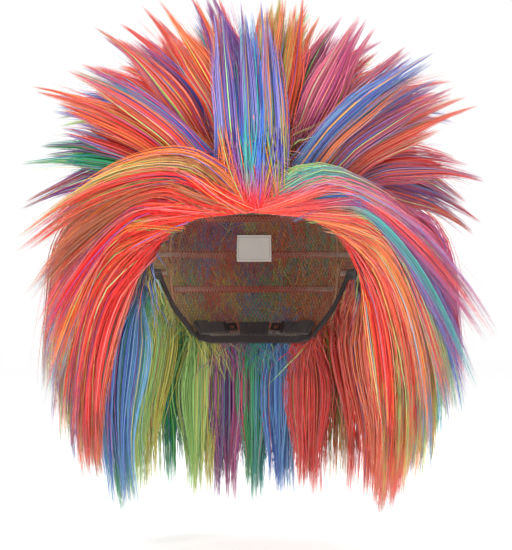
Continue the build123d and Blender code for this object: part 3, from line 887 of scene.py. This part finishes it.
def head_sheet(span, top, bottom, layer, rows, ribs=0, rib_height=0.0, step=1.5):
    """A strip of cloth on the head with rounded edges, and ribs that run along it."""
    start, end = span
    whole = end - start >= 360.0
    steps = math.ceil((end - start) / step)
    azimuths = np.linspace(start, end, steps + 1)[: steps if whole else None]
    shares = across_shares(rows)
    edge = np.minimum(shares, 1 - shares) / 0.05
    round_off = np.sqrt(1 - (1 - np.clip(edge, 0, 1)) ** 2)
    if not whole:
        reach = np.minimum(azimuths - start, end - azimuths) / 0.6
        ends = np.sqrt(1 - (1 - np.clip(reach, 0, 1)) ** 2)
    else:
        ends = np.ones(len(azimuths))
    middle = (layer[0] + layer[1]) / 2 * MM
    half = (layer[1] - layer[0]) / 2 * MM
    rib = rib_height * np.abs(np.sin(np.pi * ribs * shares)) if ribs else 0.0
    thick = np.maximum((half + rib) * round_off * ends[:, None], 0.03 * MM)
    a = np.broadcast_to(azimuths[:, None], thick.shape)
    tops, bottoms = top(azimuths)[:, None], bottom(azimuths)[:, None]
    p = tops + (bottoms - tops) * shares
    outer = head_points(a, p, middle + thick)
    inner = head_points(a, p, middle - thick)
    return loft(np.concatenate([outer, inner[:, ::-1]], axis=1), whole)


def constant(value):
    return lambda azimuth: np.full(np.shape(azimuth), float(value))


def band_top(azimuth):
    return rim_polar(azimuth) - BAND_WIDTH


def net_bottom(azimuth):
    return band_top(azimuth) + 0.6


def tab_bottom(azimuth):
    """The rounded lower edge of an ear tab."""
    share = (np.abs(azimuth) - EAR_TAB[0]) / (EAR_TAB[1] - EAR_TAB[0])
    swell = np.sqrt(np.maximum(0.0, 1.0 - (2.0 * share - 1.0) ** 2))
    return rim_polar(azimuth) + EAR_TAB_DROP * swell


def cap_piece(name, parts, material, body, *nodes):
    """One mesh of the cap that rides on a body and stands for CAD nodes."""
    points, faces = joined(parts)
    obj = mesh_object(name, points, faces, material)
    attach(obj, body)
    if nodes:
        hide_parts(*nodes)
    return obj


def runs_of(points, inside):
    """Equal lengths of thread that cover the parts of a line that lie inside a panel."""
    edges = np.flatnonzero(np.diff(np.concatenate([[0], inside.astype(int), [0]])))
    pieces = []
    for start, end in zip(edges[::2], edges[1::2]):
        if end - start < 3:
            continue
        parts = max(1, round((end - start - 1) / (THREAD_RUN - 1)))
        at = np.linspace(start, end - 1, parts * (THREAD_RUN - 1) + 1)
        line = np.stack([np.interp(at, np.arange(len(points)), points[:, i]) for i in range(3)], -1)
        pieces.extend(line[i * (THREAD_RUN - 1): (i + 1) * (THREAD_RUN - 1) + 1] for i in range(parts))
    return pieces


def thread_tubes(pieces, radius, sides=4):
    lines = np.array(pieces)
    points, faces, _ = tubes(lines, np.full(lines.shape[:2], radius), sides)
    return points, faces


def cord(azimuths, polars, offset, radius=CORD_RADIUS, sides=6):
    """One round cord along a line on the head."""
    line = head_points(azimuths, polars, np.full(len(azimuths), offset))
    points, faces, _ = tubes(line[None], np.full((1, len(line)), radius), sides)
    return points, faces


def side_panel_threads(start, end):
    """Slanting net threads of a panel between two azimuths, from the crown seam to the rim."""
    reach = (rim_polar(np.array([180.0]))[0] - SEAM) * NET_SLANT
    polars = np.arange(SEAM, 130.0, 0.8)
    pieces = []
    for slant, first in ((NET_SLANT, start - reach), (-NET_SLANT, start)):
        for a0 in np.arange(first, first + end - start + reach, NET_PITCH):
            azimuths = a0 + slant * (polars - SEAM)
            inside = (azimuths > start) & (azimuths < end) & (polars < net_bottom(azimuths))
            lift = NET_HEIGHT + math.copysign(0.2 * MM, slant)
            pieces += runs_of(head_points(azimuths, polars, np.full(len(polars), lift)), inside)
    return pieces


def crown_threads():
    """Crossing net threads over the crown."""
    pieces = []
    along = np.arange(-SEAM, SEAM, 0.8)
    for turn, lift in ((35.0, 0.2), (-35.0, -0.2)):
        c, s = math.cos(math.radians(turn)), math.sin(math.radians(turn))
        for shift in np.arange(-SEAM, SEAM, NET_PITCH):
            x, y = along * s + shift * c, along * c - shift * s
            polars = np.hypot(x, y)
            azimuths = np.degrees(np.arctan2(x, -y))
            height = np.full(len(along), NET_HEIGHT + lift * MM)
            pieces += runs_of(head_points(azimuths, polars, height), polars < SEAM)
    return pieces


def make_nets(material):
    """Stretch net in five panels, each with a cord hem."""
    whole = np.linspace(-180, 180, 181)
    hem = cord(whole, np.full(181, SEAM - 0.5), NET_HEIGHT)
    crown = thread_tubes(crown_threads(), THREAD_RADIUS)
    cap_piece("crown_net_threads", [crown, hem], material, "cap", "crown_net")
    panels = {
        "front_net": (-TEMPLE_SEAM, TEMPLE_SEAM),
        "back_net": (SIDE_SEAM, 360 - SIDE_SEAM),
        "side_net_left": (TEMPLE_SEAM, SIDE_SEAM),
        "side_net_right": (-SIDE_SEAM, -TEMPLE_SEAM),
    }
    for node, (start, end) in panels.items():
        azimuths = np.linspace(start + 0.5, end - 0.5, 60)
        parts = [thread_tubes(side_panel_threads(start, end), THREAD_RADIUS)]
        parts.append(cord(azimuths, np.full(60, SEAM + 0.5), NET_HEIGHT))
        for edge in (start + 0.5, end - 0.5):
            polars = np.linspace(SEAM, float(net_bottom(np.array([edge]))[0]), 30)
            parts.append(cord(np.full(30, edge), polars, NET_HEIGHT))
        cap_piece(node + "_threads", parts, material, "cap", node)


def make_bands(material):
    """Ribbed elastic round the rim, and the two ear tabs that flex."""
    ribbed = dict(rows=36, ribs=6, rib_height=0.22 * MM)
    layer = (0.0, 1.3)
    front = EAR_TAB[0] - 0.35
    back = EAR_TAB[1] + 1.0
    spans = {
        "front_band": (-front, front),
        "nape_band": (NAPE_BAND_FROM + 0.35, 360 - NAPE_BAND_FROM - 0.35),
        "side_band_left": (back, NAPE_BAND_FROM - 0.35),
        "side_band_right": (-NAPE_BAND_FROM + 0.35, -back),
    }
    for node, span in spans.items():
        sheet = head_sheet(span, band_top, rim_polar, layer, **ribbed)
        cap_piece(node + "_elastic", [sheet], material, "cap", node)
    for side, word in ((1, "left"), (-1, "right")):
        span = EAR_TAB if side > 0 else (-EAR_TAB[1], -EAR_TAB[0])
        tab = head_sheet(span, band_top, tab_bottom, layer, rows=40, ribs=9, rib_height=0.15 * MM, step=0.8)
        inset = np.linspace(span[0] + 2.5, span[1] - 2.5, 30)
        hem = [cord(inset, tab_bottom(inset) - 2.2, offset, 0.3 * MM) for offset in (-0.1 * MM, 1.4 * MM)]
        cap_piece(f"ear_tab_{word}_cloth", [tab, *hem], material, f"ear_tab_{word}", f"ear_tab_{word}")


def track_middle(polar):
    if polar is None:
        return lambda azimuth: rim_polar(azimuth) - ROW_INSET
    return constant(polar)


def zigzag(start, end, polar_of, width, offset):
    """One long zigzag of sewing thread."""
    azimuths = np.arange(start, end, STITCH_STEP / 2)
    polars = polar_of(azimuths) + width / 2 * np.where(np.arange(len(azimuths)) % 2, 1, -1)
    return cord(azimuths, polars, offset, STITCH_RADIUS, 4)


def make_tracks(tape, thread):
    """Sewn wefts: a tape for each row of hair, zigzag stitched to the net."""
    stitches = []
    for node, (polar, start, end) in TRACKS.items():
        middle = track_middle(polar)
        top = lambda azimuth, middle=middle: middle(azimuth) - TRACK_WIDTH / 2
        bottom = lambda azimuth, middle=middle: middle(azimuth) + TRACK_WIDTH / 2
        sheet = head_sheet((start, end), top, bottom, (1.0, 2.7), rows=16, ribs=3, rib_height=0.25 * MM)
        cap_piece(node + "_tape", [sheet], tape, "cap", node)
        stitches.append(zigzag(start + 1, end - 1, middle, TRACK_WIDTH * 0.75, 0.1 * MM))
    seams = [(-180, 180, constant(SEAM)), (-66, 66, band_top), (140, 220, band_top)]
    for start, end, polar_of in seams:
        stitches.append(zigzag(start, end, polar_of, 2.2, -0.4 * MM))
    cap_piece("cap_stitching", stitches, thread, "cap")


def make_label(material, thread):
    """A blank sewn label with a stitched border."""
    span, polars = (170.0, 190.0), (78.0, 90.0)
    sheet = head_sheet(span, constant(polars[0]), constant(polars[1]), (-0.9, -0.45), rows=12, step=0.8)
    cap_piece("care_label_cloth", [sheet], material, "cap", "care_label")
    border = []
    inset = 1.1
    a = np.linspace(span[0] + inset, span[1] - inset, 15)
    p = np.linspace(polars[0] + inset, polars[1] - inset, 9)
    stitch = dict(offset=-1.0 * MM, radius=0.15 * MM)
    for polar in (p[0], p[-1]):
        border += [cord(np.linspace(x, x + 0.8, 4), np.full(4, polar), **stitch) for x in a[:-1]]
    for azimuth in (a[0], a[-1]):
        border += [cord(np.full(4, azimuth), np.linspace(y, y + 0.8, 4), **stitch) for y in p[:-1]]
    cap_piece("care_label_stitching", border, thread, "cap")


def make_crown_patch(material, thread):
    """Padded disc at the crown with a rolled edge and two rings of stitches."""
    radii = np.array([0, 6, 12, 18, 22, 23.2, 23.8, 24.0]) * MM
    dome = np.array([0.4, 0.4, 0.4, 0.4, 0.4, 0.34, 0.2, 0.0]) * MM
    around = np.radians(np.arange(0, 360, 4))
    profile = [(r, PATCH_THICKNESS / 2 + h) for r, h in zip(radii[1:], dome[1:])]
    profile += [(r, PATCH_THICKNESS / 2 - h) for r, h in zip(radii[1:-1][::-1], dome[1:-1][::-1])]
    rings = np.array([[(r * math.cos(t), r * math.sin(t), z) for t in around] for r, z in profile])
    rings = rings.reshape(len(profile), len(around), 3)
    disc = loft(rings[::-1], False)
    cap_piece("crown_patch_cloth", [disc], material, "cap", "crown_patch")
    sewn = []
    for radius in (12 * MM, 21 * MM):
        turns = np.linspace(0, 2 * math.pi, 97)
        for height in (0.0, PATCH_THICKNESS):
            line = np.stack([radius * np.cos(turns), radius * np.sin(turns), np.full(97, height)], -1)
            points, faces, _ = tubes(line[None], np.full((1, 97), 0.22 * MM), 5)
            sewn.append((points, faces))
    cap_piece("crown_patch_stitching", sewn, thread, "cap")


# ---------- stage
def make_stage():
    """Pale round floor that sweeps up into a wall on every side."""
    bend = np.linspace(0, math.pi / 2, 14)
    cove = FLOOR_RADIUS + COVE_RADIUS * np.sin(bend)
    out = [0.02, 1.0, 2.5, *cove, cove[-1]]
    up = [0, 0, 0, *(COVE_RADIUS * (1 - np.cos(bend))), WALL_HEIGHT]
    around = np.radians(np.arange(0, 360, 5))
    verts = [(r * math.cos(t), r * math.sin(t), z + FLOOR_HEIGHT) for t in around for r, z in zip(out, up)]
    rows = len(out)
    quads = []
    for i in range(len(around)):
        here, there = i * rows, (i + 1) % len(around) * rows
        quads += [[here + j, there + j, there + j + 1, here + j + 1] for j in range(rows - 1)]
    middle = [i * rows for i in reversed(range(len(around)))]
    mat, tree, shader = new_material("floor_paper", 0.9, 0.1)
    noise = add(tree, "ShaderNodeTexNoise", Scale=6.0, Detail=2.0)
    paper = mix_colours(tree, noise.outputs["Fac"], (0.95, 0.95, 0.95), (0.98, 0.98, 0.98))
    tree.links.new(paper, shader.inputs["Base Color"])
    tree.links.new(paper, shader.inputs["Emission Color"])
    shader.inputs["Emission Strength"].default_value = 0.16
    mesh_object("floor", verts, [quads, [middle]], mat)


def area_light(name, place, size, power):
    data = bpy.data.lights.new(name, "AREA")
    data.size = size
    data.energy = power
    light = bpy.data.objects.new(name, data)
    bpy.context.scene.collection.objects.link(light)
    light.location = place
    way = np.array([0, 0, -0.08]) - np.array(place)
    light.rotation_euler = Vector(way).to_track_quat("-Z", "Y").to_euler()


def make_lights():
    world = bpy.data.worlds.new("studio")
    world.use_nodes = True
    background = world.node_tree.nodes["Background"]
    background.inputs["Color"].default_value = (1, 1, 1, 1)
    background.inputs["Strength"].default_value = 0.80
    bpy.context.scene.world = world
    area_light("key", (-0.9, -1.5, 0.9), 0.9, 27)
    area_light("fill", (1.2, -1.4, 0.2), 1.2, 15)
    area_light("top", (0.0, 0.3, 1.4), 1.0, 14)
    area_light("back", (0.3, 1.8, 0.7), 1.2, 14)


def make_camera():
    data = bpy.data.cameras.new("camera")
    data.lens = CAMERA_LENS
    camera = bpy.data.objects.new("camera", data)
    bpy.context.scene.collection.objects.link(camera)
    camera.location = CAMERA_PLACE
    camera.rotation_euler = (math.pi / 2, 0, 0)
    bpy.context.scene.camera = camera
    bpy.context.scene.view_settings.view_transform = "Standard"


# ---------- build
slot_of = {part["node"]: part["material_slot"] for part in frame["record"]["subparts"]}
make_hair(hair_material())

elastic = cloth_material("elastic_band", (0.30, 0.27, 0.27), (0.12, 0.10, 0.10), 0.8 * MM)
tape_cloth = cloth_material("weft_tape", (0.80, 0.26, 0.22), (0.46, 0.12, 0.11), 0.7 * MM)
lining = cloth_material("lining", (0.84, 0.70, 0.58), (0.62, 0.48, 0.38), 0.7 * MM)
label_cloth = cloth_material("label_tape", (0.97, 0.96, 0.93), (0.84, 0.82, 0.78), 0.5 * MM)
net_thread = thread_material("net_thread", (0.80, 0.62, 0.50), (0.52, 0.36, 0.28))
sewing_thread = thread_material("sewing_thread", (0.95, 0.90, 0.84), (0.70, 0.62, 0.55))
make_nets(net_thread)
make_bands(elastic)
make_tracks(tape_cloth, sewing_thread)
make_label(label_cloth, net_thread)
make_crown_patch(lining, sewing_thread)
plastic = plastic_material("hook_plastic", (0.12, 0.11, 0.11))
SLOT_MATERIALS = {
    "elastic_band": elastic, "weft_tape": tape_cloth, "lining": lining,
    "label_tape": label_cloth, "hook_plastic": plastic, "cap_net": net_thread}
for node_name, node_object in frame["nodes"].items():
    if not node_object.hide_render:
        node_object.data.materials.clear()
        node_object.data.materials.append(SLOT_MATERIALS[slot_of[node_name]])

make_stage()
make_lights()
make_camera()
